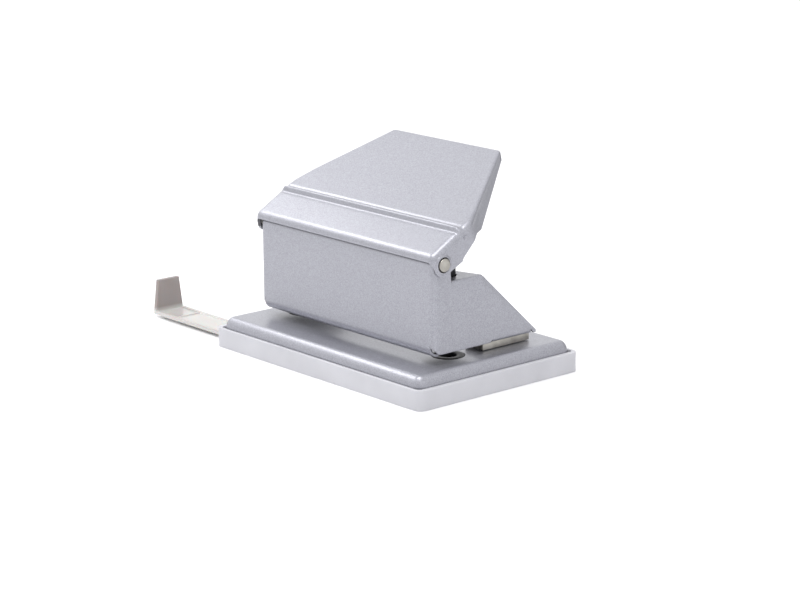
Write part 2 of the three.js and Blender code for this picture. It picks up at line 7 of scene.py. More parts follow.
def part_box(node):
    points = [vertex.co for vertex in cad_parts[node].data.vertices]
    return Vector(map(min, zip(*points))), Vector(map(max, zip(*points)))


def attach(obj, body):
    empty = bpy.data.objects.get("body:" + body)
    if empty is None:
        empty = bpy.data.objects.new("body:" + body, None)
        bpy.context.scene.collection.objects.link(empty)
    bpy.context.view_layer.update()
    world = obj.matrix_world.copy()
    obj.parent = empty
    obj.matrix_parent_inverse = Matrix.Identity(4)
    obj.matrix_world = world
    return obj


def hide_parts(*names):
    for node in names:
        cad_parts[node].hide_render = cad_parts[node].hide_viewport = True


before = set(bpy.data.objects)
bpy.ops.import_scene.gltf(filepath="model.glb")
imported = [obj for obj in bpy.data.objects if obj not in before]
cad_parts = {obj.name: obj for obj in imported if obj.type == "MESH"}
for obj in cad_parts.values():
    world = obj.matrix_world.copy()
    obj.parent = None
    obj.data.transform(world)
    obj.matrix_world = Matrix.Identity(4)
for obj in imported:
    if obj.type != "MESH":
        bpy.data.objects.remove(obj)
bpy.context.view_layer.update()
MM = 0.001
MERGE_DISTANCE = 0.002 * MM


# ---- Places taken from the frame, in millimetres ----
def corners(node):
    low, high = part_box(node)
    return low / MM, high / MM


def middle(node):
    low, high = corners(node)
    return (low + high) / 2


SIDES = (("left", -1), ("right", 1))
RIVET_PLACES = (middle("rivet_right_front"), middle("rivet_right_rear"))
plate_low, plate_high = corners("base_plate")
shell_low, shell_high = corners("body_shell")
lever_low, lever_high = corners("lever")
gauge_low = corners("paper_gauge")[0]
pin_low, pin_high = corners("pin_right")
axle_middle = middle("axle")
axle_half = corners("axle")[1].x
pin_middle = middle("pin_right")
bar_middle = middle("press_bar")
bar_half = corners("press_bar")[1].x

body_half = shell_high.x
front_y = shell_low.y
rear_y = shell_high.y
slot_top = shell_low.z
plate_top = plate_high.z
COLLAR_HEIGHT = 0.4
AXLE_BORE = 2.675
PIN_BORE = 3.05
DIE_BORE = 6.03
RIVET_BORE = 2.3
ear_half = lever_high.x - COLLAR_HEIGHT


# ---- Mesh helpers ----
def collection_add(obj):
    bpy.context.scene.collection.objects.link(obj)
    return obj


def mesh_object(name, points, faces, smooth_angle=38):
    """A mesh from millimetre points, shaded smooth except over edges sharper than smooth_angle."""
    mesh = bpy.data.meshes.new(name)
    mesh.from_pydata([Vector(p) * MM for p in points], [], faces)
    obj = collection_add(bpy.data.objects.new(name, mesh))
    tidy(obj, smooth_angle)
    return obj


def tidy(obj, smooth_angle=38, turn=True):
    """Merges doubled points, turns every face outwards where asked, and sets the shading."""
    work = bmesh.new()
    work.from_mesh(obj.data)
    bmesh.ops.remove_doubles(work, verts=work.verts, dist=MERGE_DISTANCE)
    bmesh.ops.dissolve_degenerate(work, edges=work.edges, dist=1e-6)
    if turn:
        bmesh.ops.recalc_face_normals(work, faces=work.faces)
    work.to_mesh(obj.data)
    work.free()
    obj.data.polygons.foreach_set("use_smooth", [True] * len(obj.data.polygons))
    obj.data.set_sharp_from_angle(angle=math.radians(smooth_angle))


def bake_modifiers(obj):
    """Turns an object's modifiers into plain mesh."""
    evaluated = obj.evaluated_get(bpy.context.evaluated_depsgraph_get())
    mesh = bpy.data.meshes.new_from_object(evaluated)
    obj.modifiers.clear()
    obj.data = mesh
    return obj


def bevelled(obj, width, angle=50, segments=2, smooth_angle=38, clamp=True):
    """Breaks the sharp edges, as a tumbled blank or a mould's radius does."""
    bevel = obj.modifiers.new("edge", "BEVEL")
    bevel.width = width * MM
    bevel.segments = segments
    bevel.limit_method = "ANGLE"
    bevel.angle_limit = math.radians(angle)
    bevel.use_clamp_overlap = clamp
    bake_modifiers(obj)
    tidy(obj, smooth_angle, turn=False)
    return obj


def cut(obj, cutters):
    for cutter in cutters:
        boolean = obj.modifiers.new("cut", "BOOLEAN")
        boolean.operation = "DIFFERENCE"
        boolean.solver = "EXACT"
        boolean.object = cutter
    bake_modifiers(obj)
    for cutter in cutters:
        bpy.data.objects.remove(cutter)
    tidy(obj)
    return obj


def turned(name, profile, place, axis="Z", segments=64):
    """A solid of revolution from (radius, height) points, which start and end on the axis or form a ring."""
    ring = profile[0][0] > 1e-6
    points, faces = [], []
    for r, h in profile:
        for i in range(segments):
            a = 2 * math.pi * i / segments
            across = (r * math.cos(a), r * math.sin(a))
            point = (h, across[0], across[1]) if axis == "X" else (across[0], across[1], h)
            points.append(Vector(point) + Vector(place))
    rows = len(profile)
    for j in range(rows if ring else rows - 1):
        below, above = j * segments, (j + 1) % rows * segments
        for i in range(segments):
            k = (i + 1) % segments
            faces.append((below + i, below + k, above + k, above + i))
    return mesh_object(name, points, faces)


def bore(radius, place, axis="Z"):
    """A cutter for a round hole through sheet metal; it reaches 3 mm to each side of its place."""
    return turned("bore", [(0, -3), (radius, -3), (radius, 3), (0, 3)], place, axis=axis)


def rounded_step(r, low, high, edge, steps=3):
    """The profile of a cylinder's side with both rims rounded."""
    quarter = [math.pi / 2 * i / steps for i in range(steps + 1)]
    foot = [(r - edge + edge * math.sin(a), low + edge - edge * math.cos(a)) for a in quarter]
    top = [(r - edge + edge * math.cos(a), high - edge + edge * math.sin(a)) for a in quarter]
    return foot + top


def tube(name, line, radius, sides=14):
    """A round wire along a line of points, with closed ends."""
    points, faces = [], []
    up = Vector((0, 0, 1))
    for i, place in enumerate(line):
        ahead = (line[min(i + 1, len(line) - 1)] - line[max(i - 1, 0)]).normalized()
        across = ahead.cross(up).normalized()
        above = across.cross(ahead)
        for k in range(sides):
            a = 2 * math.pi * k / sides
            points.append(place + radius * (math.cos(a) * across + math.sin(a) * above))
    for i in range(len(line) - 1):
        for k in range(sides):
            n = (k + 1) % sides
            faces.append((i * sides + k, i * sides + n, (i + 1) * sides + n, (i + 1) * sides + k))
    faces.append(tuple(range(sides)))
    faces.append(tuple(reversed(range((len(line) - 1) * sides, len(line) * sides))))
    return mesh_object(name, points, faces)


class Sheet:
    """Pressed sheet metal: an outer skin, its twin one thickness in, and the cut edge between them."""

    def __init__(self):
        self.outer = []
        self.inner = []
        self.faces = []

    def point(self, outer, inner):
        self.outer.append(Vector(outer))
        self.inner.append(Vector(inner))
        return len(self.outer) - 1

    def quads(self, rows):
        for near, far in zip(rows, rows[1:]):
            for i in range(len(near) - 1):
                self.faces.append((near[i], near[i + 1], far[i + 1], far[i]))

    def solid(self, name):
        count = len(self.outer)
        used = {}
        for face in self.faces:
            for a, b in zip(face, face[1:] + face[:1]):
                used[(a, b)] = used.get((a, b), 0) + 1
        rims = [(b, a, a + count, b + count) for a, b in used if (b, a) not in used]
        inside = [tuple(i + count for i in reversed(face)) for face in self.faces]
        return mesh_object(name, self.outer + self.inner, self.faces + inside + rims)


def softened(name, node, width, segments=3, angle=30):
    """A copy of a CAD solid with its edges rounded, for blocks, strips and moulded pieces."""
    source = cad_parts[node]
    work = bmesh.new()
    work.from_mesh(source.data)
    bmesh.ops.remove_doubles(work, verts=work.verts, dist=MERGE_DISTANCE)
    bmesh.ops.dissolve_limit(work, angle_limit=math.radians(1), verts=work.verts, edges=work.edges)
    mesh = bpy.data.meshes.new(name)
    work.to_mesh(mesh)
    work.free()
    obj = collection_add(bpy.data.objects.new(name, mesh))
    return bevelled(obj, width, angle=angle, segments=segments)


def ramp(x, width):
    """0 below -width, x above it, and a smooth bend between."""
    if x <= -width:
        return 0.0
    if x >= width:
        return x
    return (x + width) ** 2 / (4 * width)


def smooth(x, low, high):
    t = min(max((x - low) / (high - low), 0), 1)
    return t * t * (3 - 2 * t)


def spread(low, high, step):
    count = max(1, math.ceil((high - low) / step))
    return [low + (high - low) * i / count for i in range(count + 1)]


# ---- Materials ----
def linear(hex_colour):
    """An sRGB hex colour as the linear values that Blender's shaders take."""
    parts = [int(hex_colour[i : i + 2], 16) / 255 for i in (1, 3, 5)]
    return (*(c / 12.92 if c <= 0.04045 else ((c + 0.055) / 1.055) ** 2.4 for c in parts), 1)


def set_inputs(tree, node, inputs):
    """Links each input that is given another node's output, and sets the others to the value given."""
    for key, value in inputs.items():
        if isinstance(value, bpy.types.NodeSocket):
            tree.links.new(value, node.inputs[key])
        else:
            node.inputs[key].default_value = value


def add_node(tree, kind, inputs, settings=None, stops=()):
    """Adds a node with its inputs, its own settings and, on a colour ramp, its stops as (place, colour)."""
    node = tree.nodes.new("ShaderNode" + kind)
    for key, value in (settings or {}).items():
        setattr(node, key, value)
    set_inputs(tree, node, inputs)
    for index, (at, colour) in enumerate(stops):
        node.color_ramp.elements[index].position = at
        node.color_ramp.elements[index].color = linear(colour)
    return node


def new_material(name, shader):
    """A material with its Principled shader; shader holds that node's constant inputs."""
    material = bpy.data.materials.new(name)
    material.use_nodes = True
    tree = material.node_tree
    base = tree.nodes["Principled BSDF"]
    set_inputs(tree, base, shader)
    place = add_node(tree, "TexCoord", {}).outputs["Object"]
    return material, tree, base, place


def per_metre(size_mm):
    """The texture scale that gives features of this size."""
    return 1 / (size_mm * MM)


# Silver metallic lacquer, sprayed and baked on pressed steel: aluminium flake in a clear grey-blue binder. The
# eye gets a satin sheen that spreads wide, a fine sparkle, and a faint orange-peel in the highlights. Real
# flake is 0.03 mm, too fine to show, so it is drawn at 0.25 mm.
def silver_lacquer():
    shader = {"Metallic": 0.68, "Coat Weight": 0.55, "Coat Roughness": 0.2}
    material, tree, base, place = new_material("silver_lacquer_sprayed", shader)
    flake = add_node(tree, "TexVoronoi", {"Vector": place, "Scale": per_metre(0.25)}).outputs["Color"]
    sparkle = add_node(tree, "SeparateColor", {"Color": flake}).outputs["Red"]
    cloud = add_node(tree, "TexNoise", {"Vector": place, "Scale": per_metre(9), "Detail": 3}).outputs["Fac"]
    fine = add_node(tree, "TexNoise", {"Vector": place, "Scale": per_metre(0.5), "Detail": 2}).outputs["Fac"]
    mixed = add_node(tree, "Mix", {"Factor": 0.5, 2: sparkle, 3: fine}, {"data_type": "FLOAT"}).outputs[0]
    colour = add_node(tree, "ValToRGB", {"Fac": mixed}, stops=((0.2, "#92929a"), (0.8, "#abacb4")))
    rough = add_node(tree, "MapRange", {"Value": cloud, "To Min": 0.38, "To Max": 0.44})
    peel = add_node(tree, "Bump", {"Height": mixed, "Strength": 0.5, "Distance": 0.006 * MM})
    set_inputs(tree, base, {"Base Color": colour.outputs["Color"], "Roughness": rough.outputs["Result"]})
    set_inputs(tree, base, {"Normal": peel.outputs["Normal"]})
    return material


# Painted shade for hollows: a dull, dark, mottled grey with a primer-like grain, put on the inner skin of the
# pressings and on the pin guides so hollows read as deep. Primer crystals are 0.02 mm; the grain is drawn at
# 0.4 mm so it shows.
def painted_inside_shade():
    material, tree, base, place = new_material("inside_painted_shade_grey", {"Metallic": 0.2})
    mottle = add_node(tree, "TexNoise", {"Vector": place, "Scale": per_metre(2.5), "Detail": 4}).outputs["Fac"]
    crystal = add_node(tree, "TexNoise", {"Vector": place, "Scale": per_metre(0.4), "Detail": 2}).outputs["Fac"]
    colour = add_node(tree, "ValToRGB", {"Fac": mottle}, stops=((0.3, "#505053"), (0.7, "#6c6c70")))
    rough = add_node(tree, "MapRange", {"Value": crystal, "To Min": 0.55, "To Max": 0.7})
    grit = add_node(tree, "Bump", {"Height": crystal, "Strength": 0.4, "Distance": 0.015 * MM})
    set_inputs(tree, base, {"Base Color": colour.outputs["Color"], "Roughness": rough.outputs["Result"]})
    set_inputs(tree, base, {"Normal": grit.outputs["Normal"]})
    return material


# Zinc plate, electroplated and passivated on mild steel: bright, faintly warm, with soft patches and hair-fine
# drawing lines along the sheet. The lines are 0.05 mm apart, drawn at 0.25 mm so they show.
def zinc_plate():
    material, tree, base, place = new_material("zinc_electroplated", {"Metallic": 1.0})
    patches = add_node(tree, "TexNoise", {"Vector": place, "Scale": per_metre(4), "Detail": 4}).outputs["Fac"]
    drawn = add_node(tree, "Mapping", {"Vector": place, "Scale": (0.08, 1, 1)}).outputs["Vector"]
    lines = add_node(tree, "TexNoise", {"Vector": drawn, "Scale": per_metre(0.25), "Detail": 2}).outputs["Fac"]
    colour = add_node(tree, "ValToRGB", {"Fac": patches}, stops=((0.3, "#93908a"), (0.7, "#b6b3ac")))
    rough = add_node(tree, "MapRange", {"Value": lines, "To Min": 0.22, "To Max": 0.4})
    scratch = add_node(tree, "Bump", {"Height": lines, "Strength": 0.4, "Distance": 0.01 * MM})
    set_inputs(tree, base, {"Base Color": colour.outputs["Color"], "Roughness": rough.outputs["Result"]})
    set_inputs(tree, base, {"Normal": scratch.outputs["Normal"]})
    return material


# Tool steel, ground and black-oxidised: nearly black, with a dull oil sheen broken by grinding rings.
def black_oxide():
    material, tree, base, place = new_material("tool_steel_black_oxide", {"Metallic": 0.9})
    ground = add_node(tree, "Mapping", {"Vector": place, "Scale": (0.1, 0.1, 1)}).outputs["Vector"]
    rings = add_node(tree, "TexNoise", {"Vector": ground, "Scale": per_metre(0.3), "Detail": 3}).outputs["Fac"]
    colour = add_node(tree, "ValToRGB", {"Fac": rings}, stops=((0.3, "#1f1f22"), (0.7, "#38383b")))
    rough = add_node(tree, "MapRange", {"Value": rings, "To Min": 0.25, "To Max": 0.42})
    groove = add_node(tree, "Bump", {"Height": rings, "Strength": 0.5, "Distance": 0.008 * MM})
    set_inputs(tree, base, {"Base Color": colour.outputs["Color"], "Roughness": rough.outputs["Result"]})
    set_inputs(tree, base, {"Normal": groove.outputs["Normal"]})
    return material


# Hardened tool steel, turned and ground, with rings from the lathe. Its near-black grey is painted shade for
# the hollow under the side panel's foot, on top of the shadow it mirrors. Both dies share the rings: the sides
# are folded onto each other and centred on a pin.
def hardened_steel_painted_shade():
    material, tree, base, place = new_material("tool_steel_turned_painted_shade", {"Metallic": 0.6})
    die_place = Vector((pin_middle.x, -pin_middle.y, 0)) * MM
    folded = add_node(tree, "VectorMath", {0: place}, {"operation": "ABSOLUTE"}).outputs["Vector"]
    centred = add_node(tree, "VectorMath", {0: folded, 1: die_place}, {"operation": "SUBTRACT"})
    wave = {"Vector": centred.outputs["Vector"], "Scale": per_metre(6.0), "Distortion": 0.6}
    rings = add_node(tree, "TexWave", wave, {"wave_type": "RINGS", "rings_direction": "Z"}).outputs["Fac"]
    colour = add_node(tree, "ValToRGB", {"Fac": rings}, stops=((0.2, "#262628"), (0.8, "#38383b")))
    rough = add_node(tree, "MapRange", {"Value": rings, "To Min": 0.4, "To Max": 0.5})
    groove = add_node(tree, "Bump", {"Height": rings, "Strength": 0.4, "Distance": 0.006 * MM})
    set_inputs(tree, base, {"Base Color": colour.outputs["Color"], "Roughness": rough.outputs["Result"]})
    set_inputs(tree, base, {"Normal": groove.outputs["Normal"]})
    return material


# Spring steel, drawn and oiled: grey, smooth along the wire, with darker heat-treatment streaks.
def spring_steel():
    material, tree, base, place = new_material("spring_steel_drawn", {"Metallic": 1.0})
    streaks = add_node(tree, "TexNoise", {"Vector": place, "Scale": per_metre(1.2), "Detail": 4}).outputs["Fac"]
    colour = add_node(tree, "ValToRGB", {"Fac": streaks}, stops=((0.3, "#77777b"), (0.7, "#a2a2a6")))
    rough = add_node(tree, "MapRange", {"Value": streaks, "To Min": 0.24, "To Max": 0.36})
    scale = add_node(tree, "Bump", {"Height": streaks, "Strength": 0.3, "Distance": 0.01 * MM})
    set_inputs(tree, base, {"Base Color": colour.outputs["Color"], "Roughness": rough.outputs["Result"]})
    set_inputs(tree, base, {"Normal": scale.outputs["Normal"]})
    return material


# White polystyrene, injection moulded in a spark-eroded tool: a milky white that lets a little light in, with a
# fine matte grain. The grain is 0.05 mm, drawn at 0.35 mm so it shows.
def white_polystyrene():
    shader = {"IOR": 1.59, "Subsurface Weight": 0.25}
    shader |= {"Subsurface Radius": (0.9, 0.9, 1.0), "Subsurface Scale": 0.002}
    material, tree, base, place = new_material("white_polystyrene_moulded", shader)
    grain = add_node(tree, "TexNoise", {"Vector": place, "Scale": per_metre(0.35), "Detail": 3}).outputs["Fac"]
    flow = add_node(tree, "TexNoise", {"Vector": place, "Scale": per_metre(14), "Detail": 2}).outputs["Fac"]
    colour = add_node(tree, "ValToRGB", {"Fac": flow}, stops=((0.3, "#bdbdc2"), (0.7, "#c5c5ca")))
    rough = add_node(tree, "MapRange", {"Value": grain, "To Min": 0.34, "To Max": 0.48})
    matte = add_node(tree, "Bump", {"Height": grain, "Strength": 0.4, "Distance": 0.012 * MM})
    set_inputs(tree, base, {"Base Color": colour.outputs["Color"], "Roughness": rough.outputs["Result"]})
    set_inputs(tree, base, {"Normal": matte.outputs["Normal"]})
    return material


# Smoky clear polystyrene, injection moulded in a polished tool: light passes and tints warm grey, and the
# surface mirrors the room with a slight flow ripple. The thin strip lets the white below through; the thicker
# stop shows the full tint.
def smoky_polystyrene():
    shader = {"IOR": 1.59, "Transmission Weight": 0.15, "Subsurface Weight": 0.2, "Subsurface Scale": 0.0015}
    material, tree, base, place = new_material("smoky_polystyrene_polished", shader)
    strip_top, full_tint = gauge_low.z + 1.2, gauge_low.z + 3.0
    flow = add_node(tree, "TexNoise", {"Vector": place, "Scale": per_metre(6), "Detail": 2}).outputs["Fac"]
    height = add_node(tree, "SeparateXYZ", {"Vector": place}).outputs["Z"]
    tint_range = {"Value": height, "From Min": strip_top * MM, "From Max": full_tint * MM}
    tint = add_node(tree, "MapRange", tint_range).outputs["Result"]
    clouded = {"operation": "MULTIPLY_ADD", "use_clamp": True}
    mixed = add_node(tree, "Math", {0: flow, 1: 0.12, 2: tint}, clouded).outputs["Value"]
    colour = add_node(tree, "ValToRGB", {"Fac": mixed}, stops=((0.02, "#d3d1cd"), (1.0, "#9c9491")))
    rough = add_node(tree, "MapRange", {"Value": flow, "To Min": 0.12, "To Max": 0.2})
    ripple = add_node(tree, "Bump", {"Height": flow, "Strength": 0.2, "Distance": 0.02 * MM})
    set_inputs(tree, base, {"Base Color": colour.outputs["Color"], "Roughness": rough.outputs["Result"]})
    set_inputs(tree, base, {"Normal": ripple.outputs["Normal"]})
    return material


# Gloss acrylic sheet, polished, on a white table: white to the edge of sight, with a faint mirror image of what
# it carries.
def white_gloss_floor():
    shader = {"IOR": 1.49, "Specular IOR Level": 0.5}
    material, tree, base, place = new_material("white_acrylic_polished", shader)
    haze = add_node(tree, "TexNoise", {"Vector": place, "Scale": per_metre(60), "Detail": 2}).outputs["Fac"]
    colour = add_node(tree, "ValToRGB", {"Fac": haze}, stops=((0.3, "#fafafb"), (0.7, "#fdfdfe")))
    rough = add_node(tree, "MapRange", {"Value": haze, "To Min": 0.04, "To Max": 0.07})
    set_inputs(tree, base, {"Base Color": colour.outputs["Color"], "Roughness": rough.outputs["Result"]})
    return material


# Painted shade: the dies' near-black steel colour stands for the shadow under the side panels' feet.
DIE_PAINTED_SHADE = hardened_steel_painted_shade()
# Painted shade: a dark grey for the inner skins and the pin guides, so the hollows under the body read dark.
INSIDE_PAINTED_SHADE = painted_inside_shade()
FINISHES = {
    "lacquered_steel": silver_lacquer(),
    "zinc_steel": zinc_plate(),
    "black_steel": black_oxide(),
    "spring_steel": spring_steel(),
    "tray_plastic": white_polystyrene(),
    "gauge_plastic": smoky_polystyrene(),
}


def place_piece(obj, body, slot, *nodes, finish=None):
    """Gives a piece its finish, fixes it to a body and lets it stand for its CAD nodes."""
    obj.data.materials.clear()
    obj.data.materials.append(finish or FINISHES[slot])
    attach(obj, body)
    if nodes:
        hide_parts(*nodes)
    return obj


def paint_shade_inside(obj, heart):
    """Puts painted shade on the inner skin of a pressing: the faces that look towards the heart of the hollow.
    """
    obj.data.materials.append(INSIDE_PAINTED_SHADE)
    heart = Vector(heart) * MM
    for face in obj.data.polygons:
        if face.normal.dot(face.center - heart) < -0.25 * MM:
            face.material_index = 1


# ---- Camera ----
# Stands off the right front corner, a little above the handle, with a long lens.
CAMERA_PLACE = Vector((640.1, -546.5, 238.5)) * MM
CAMERA_AZIMUTH = math.radians(49.34)
CAMERA_ELEVATION = math.radians(14.44)
CAMERA_ROLL = math.radians(-0.46)
CAMERA_LENS = 108.45


def camera():
    a, e, r = CAMERA_AZIMUTH, CAMERA_ELEVATION, CAMERA_ROLL
    back = Vector((math.sin(a) * math.cos(e), -math.cos(a) * math.cos(e), math.sin(e)))
    right = Vector((math.cos(a), math.sin(a), 0))
    up = back.cross(right)
    x = right * math.cos(r) + up * math.sin(r)
    y = up * math.cos(r) - right * math.sin(r)
    data = bpy.data.cameras.new("camera")
    data.lens = CAMERA_LENS
    data.sensor_width = 36
    data.clip_start = 0.01
    obj = collection_add(bpy.data.objects.new("camera", data))
    obj.matrix_world = Matrix.Translation(CAMERA_PLACE) @ Matrix((x, y, back)).transposed().to_4x4()
    bpy.context.scene.camera = obj


# ---- Lever ----
LEVER_SHEET = 1.1
LIP_BEND = 3.2
REAR_BEND = 1.15
BAND_SLOPE = 30
HANDLE_SLOPE = 28.2
BAND_LENGTH = 12.9
HANDLE_END_HALF = 28.4
HANDLE_EDGE = 3.2
BEAD_HEIGHT = 1.15
BEAD_HALF = 1.55
TAPER_START = 12.8
DRAFT = 0.27
EAR_RADIUS = 4.15
LIP_EDGE_ROUND = 2.5
HANDLE_EDGE_ROUND = 1.4
LEVER_ARRIS = 0.16
lip_foot = axle_middle.z + 1.2
band_start = (axle_middle.y - 3.25, axle_middle.z + 4.3)


def onward(start, slope, length):
    a = math.radians(slope)
    return start[0] + length * math.cos(a), start[1] + length * math.sin(a)


bead_place = onward(band_start, BAND_SLOPE, BAND_LENGTH)
handle_run = lever_high.y - bead_place[0]
handle_end = onward(bead_place, HANDLE_SLOPE, handle_run / math.cos(math.radians(HANDLE_SLOPE)))
taper_y = axle_middle.y + TAPER_START
taper_rate = (ear_half - HANDLE_END_HALF) / (handle_end[0] - taper_y)


def ear_outline():
    """The lever's lower edge in Y and Z, from the lip's foot round the axle and back along the flange."""
    y, z = axle_middle.y, axle_middle.z
    line = [(lever_low.y, lip_foot)]
    for i in range(25):
        a = math.radians(189 + 122.4 * i / 24)
        line.append((y + EAR_RADIUS * math.cos(a), z + EAR_RADIUS * math.sin(a)))
    line += [(y + 8.5, z - 0.25), (y + 8.85, z + 0.1), (y + 9.05, z + 0.9)]
    line += [(y + 14.7, z + 6.7), (y + 15.3, z + 7.7), (y + 16.3, z + 8.4), (y + 19.6, z + 8.9)]
    line.append((handle_end[0], handle_end[1] - HANDLE_EDGE))
    return line


EAR_LINE = ear_outline()


def ear_foot(y):
    for (ya, za), (yb, zb) in zip(EAR_LINE, EAR_LINE[1:]):
        if y <= yb:
            return za + (zb - za) * max(0, (y - ya) / max(yb - ya, 1e-6))
    return EAR_LINE[-1][1]


def lever_half(y, depth=0):
    """Half the lever's width; the flange leans out as it goes down, so its bend with the ear slants."""
    return ear_half - ramp(taper_rate * (y - taper_y) - DRAFT * depth, 0.9)


def bead(t):
    """The bead's height across it: a half-round ridge with a shallow cove on each side."""
    ridge = 0.5 + 0.5 * math.cos(math.pi * t / BEAD_HALF) if abs(t) < BEAD_HALF else 0
    cove = math.exp(-(((abs(t) - BEAD_HALF - 0.25) / 0.55) ** 2))
    return BEAD_HEIGHT * ridge - 0.16 * cove


def lever_line():
    """Stations along the lever's middle: (y, z, slope in degrees, bead height)."""

    def bend(corner, slope_in, slope_out, radius, steps):
        half_turn = math.radians(slope_in - slope_out) / 2
        start = onward(corner, slope_in, -radius * math.tan(half_turn))
        a = math.radians(slope_in)
        centre = (start[0] + radius * math.sin(a), start[1] - radius * math.cos(a))
        line = []
        for i in range(steps + 1):
            slope = slope_in + (slope_out - slope_in) * i / steps
            b = math.radians(slope)
            line.append((centre[0] - radius * math.sin(b), centre[1] + radius * math.cos(b), slope))
        return line

    tan_band = math.tan(math.radians(BAND_SLOPE))
    lip_corner = (lever_low.y, band_start[1] - (band_start[0] - lever_low.y) * tan_band)
    lip = bend(lip_corner, 90, BAND_SLOPE, LIP_BEND, 10)
    rear = bend(handle_end, HANDLE_SLOPE, -90, REAR_BEND, 12)
    line = [(lever_low.y, lip_foot, 90, 0)]
    line += [(*p, 0) for p in lip]
    reach = BEAD_HALF + 1.5
    band_end = onward(bead_place, BAND_SLOPE, -reach)
    for y in spread(lip[-1][0], band_end[0], 0.55)[1:-1]:
        z = bead_place[1] - (bead_place[0] - y) * tan_band
        line.append((y, z, BAND_SLOPE, 0))
    for t in spread(-reach, reach, 0.18):
        slope = BAND_SLOPE if t < 0 else HANDLE_SLOPE
        lean = BAND_SLOPE + (HANDLE_SLOPE - BAND_SLOPE) * smooth(t, -reach, reach)
        line.append((*onward(bead_place, slope, t), lean, bead(t)))
    handle_start = onward(bead_place, HANDLE_SLOPE, reach)
    dense = spread(handle_start[0], 2.0, 0.55)[1:]
    coarse = spread(2.0, rear[0][0], 2.2)[1:-1]
    for y in dense + coarse:
        z = bead_place[1] + (y - bead_place[0]) * math.tan(math.radians(HANDLE_SLOPE))
        line.append((y, z, HANDLE_SLOPE, 0))
    line += [(*p, 0) for p in rear]
    line.append((handle_end[0], handle_end[1] - HANDLE_EDGE, -90, 0))
    return line


def lever_shell():
    sheet = Sheet()
    line = lever_line()
    across = [-1, -0.99, -0.978, -0.965, -0.95, -0.93, -0.9, -0.6, -0.2]
    across += [-u for u in reversed(across)]
    turns = [math.pi / 2 * i / 12 for i in range(1, 13)]
    side_steps = 6
    rows = []
    for index, (y, z, slope, height) in enumerate(line):
        a = math.radians(slope)
        normal = Vector((0, -math.sin(a), math.cos(a)))
        end_row = index in (0, len(line) - 1)
        edge_round = LIP_EDGE_ROUND - (LIP_EDGE_ROUND - HANDLE_EDGE_ROUND) * smooth(y, -7, 1)

        def skin(u, turn, inset):
            """A point of the outer skin, or of the inner one when inset is the sheet's thickness."""
            centre = Vector((0, y, z)) - normal * edge_round
            point = centre + normal * (edge_round - inset) * math.cos(turn)
            outer_y = (centre + normal * edge_round * math.cos(turn)).y
            corner_x = lever_half(outer_y) - edge_round
            side = 1 if u > 0 else -1
            if turn > 0:
                point.x = side * (corner_x + (edge_round - inset) * math.sin(turn))
            else:
                point.x = u * corner_x
            fade = (1 - 0.6 * smooth(abs(point.x), ear_half - 3.2, ear_half - 0.6)) * math.cos(turn) ** 0.5
            point += normal * height * fade
            if end_row:
                point.z = ear_foot(outer_y) if index == 0 else line[-1][1] - (handle_end[0] - outer_y) * 0.69
            return point

        row = []
        round_left, round_right = [(-1, t) for t in reversed(turns)], [(1, t) for t in turns]
        for u, turn in round_left + [(u, 0) for u in across] + round_right:
            row.append(sheet.point(skin(u, turn, 0), skin(u, turn, LEVER_SHEET)))
        rows.append(row)
    sheet.quads(rows)

    for side in (-1, 1):
        columns = []
        for row in rows:
            top = row[0] if side < 0 else row[-1]
            high = sheet.outer[top]
            foot = ear_foot(high.y)
            column = [top]
            for k in range(1, side_steps + 1):
                z = high.z + (foot - high.z) * k / side_steps
                x = side * lever_half(high.y, high.z - z)
                column.append(sheet.point((x, high.y, z), (x - side * LEVER_SHEET, high.y, z)))
            columns.append(column)
        if side < 0:
            columns.reverse()
        sheet.quads(columns)
    return sheet.solid("lever_pressing")


def lever():
    shell = lever_shell()
    y, z = axle_middle.y, axle_middle.z
    cutters = []
    for _, side in SIDES:
        hole = bore(AXLE_BORE, (side * ear_half, y, z), axis="X")
        punched = [(0, -0.55), (0.35, -0.5), (0.95, 0.1), (0.95, 1), (0, 1)]
        dimple = turned("dimple", punched, (0, 0, 0), axis="X", segments=32)
        if side < 0:
            dimple.data.transform(Matrix.Scale(-1, 4, (1, 0, 0)))
            tidy(dimple)
        dimple.location = Vector((side * ear_half, bar_middle.y, bar_middle.z + 0.5)) * MM
        cutters += [hole, dimple]
    bpy.context.view_layer.update()
    cut(shell, cutters)
    bevelled(shell, LEVER_ARRIS, angle=62)
    place_piece(shell, "handle", "lacquered_steel", "lever")
    # Painted shade on the lever's inner skin.
    paint_shade_inside(shell, (0, 0, 46))
    for name, side in SIDES:
        height = COLLAR_HEIGHT
        profile = [(2.68, -0.3), (3.7, -0.3), (3.55, 0.02), (3.38, 0.1), (3.25, 0.3), (3.05, height)]
        profile += [(2.85, height), (2.7, height - 0.12)]
        if side < 0:
            profile = [(r, -h) for r, h in reversed(profile)]
        ring = turned("axle_ring_" + name, profile, (side * ear_half, y, z), axis="X")
        place_piece(ring, "handle", "lacquered_steel")


# ---- Body shell ----
BODY_SHEET = 1.0
BODY_CORNER = 2.3
FRONT_ROLL = 3.6
ROLL_LAND = 0.4
SIDE_FOOT = slot_top + 1.05
BODY_TOP = SIDE_FOOT + 25.16
REAR_LIP = 0.9
REAR_SLOPE = 43
POST_DEPTH = 8.35
PIVOT_SETBACK = 3.65
GUIDE_FLANGE = 13.5
SEAM_FLANGE = 10.5
FLANGE_BEND = 1.1
TOP_BEND = 0.55
INNER_BEND = 0.05
SLIT_TOP = slot_top + 4.1
TOP_TURN = 1.5
SEAM_END_GAP = 1.7
ROLL_END_GAP = 1.85
FRONT_TIP_LIFT = 0.45
BODY_ARRIS = 0.14
post_y = front_y + POST_DEPTH
slope_top_y = rear_y - (BODY_TOP - SIDE_FOOT - REAR_LIP) / math.tan(math.radians(REAR_SLOPE))
stop_low = corners("paper_stop_right")[0]


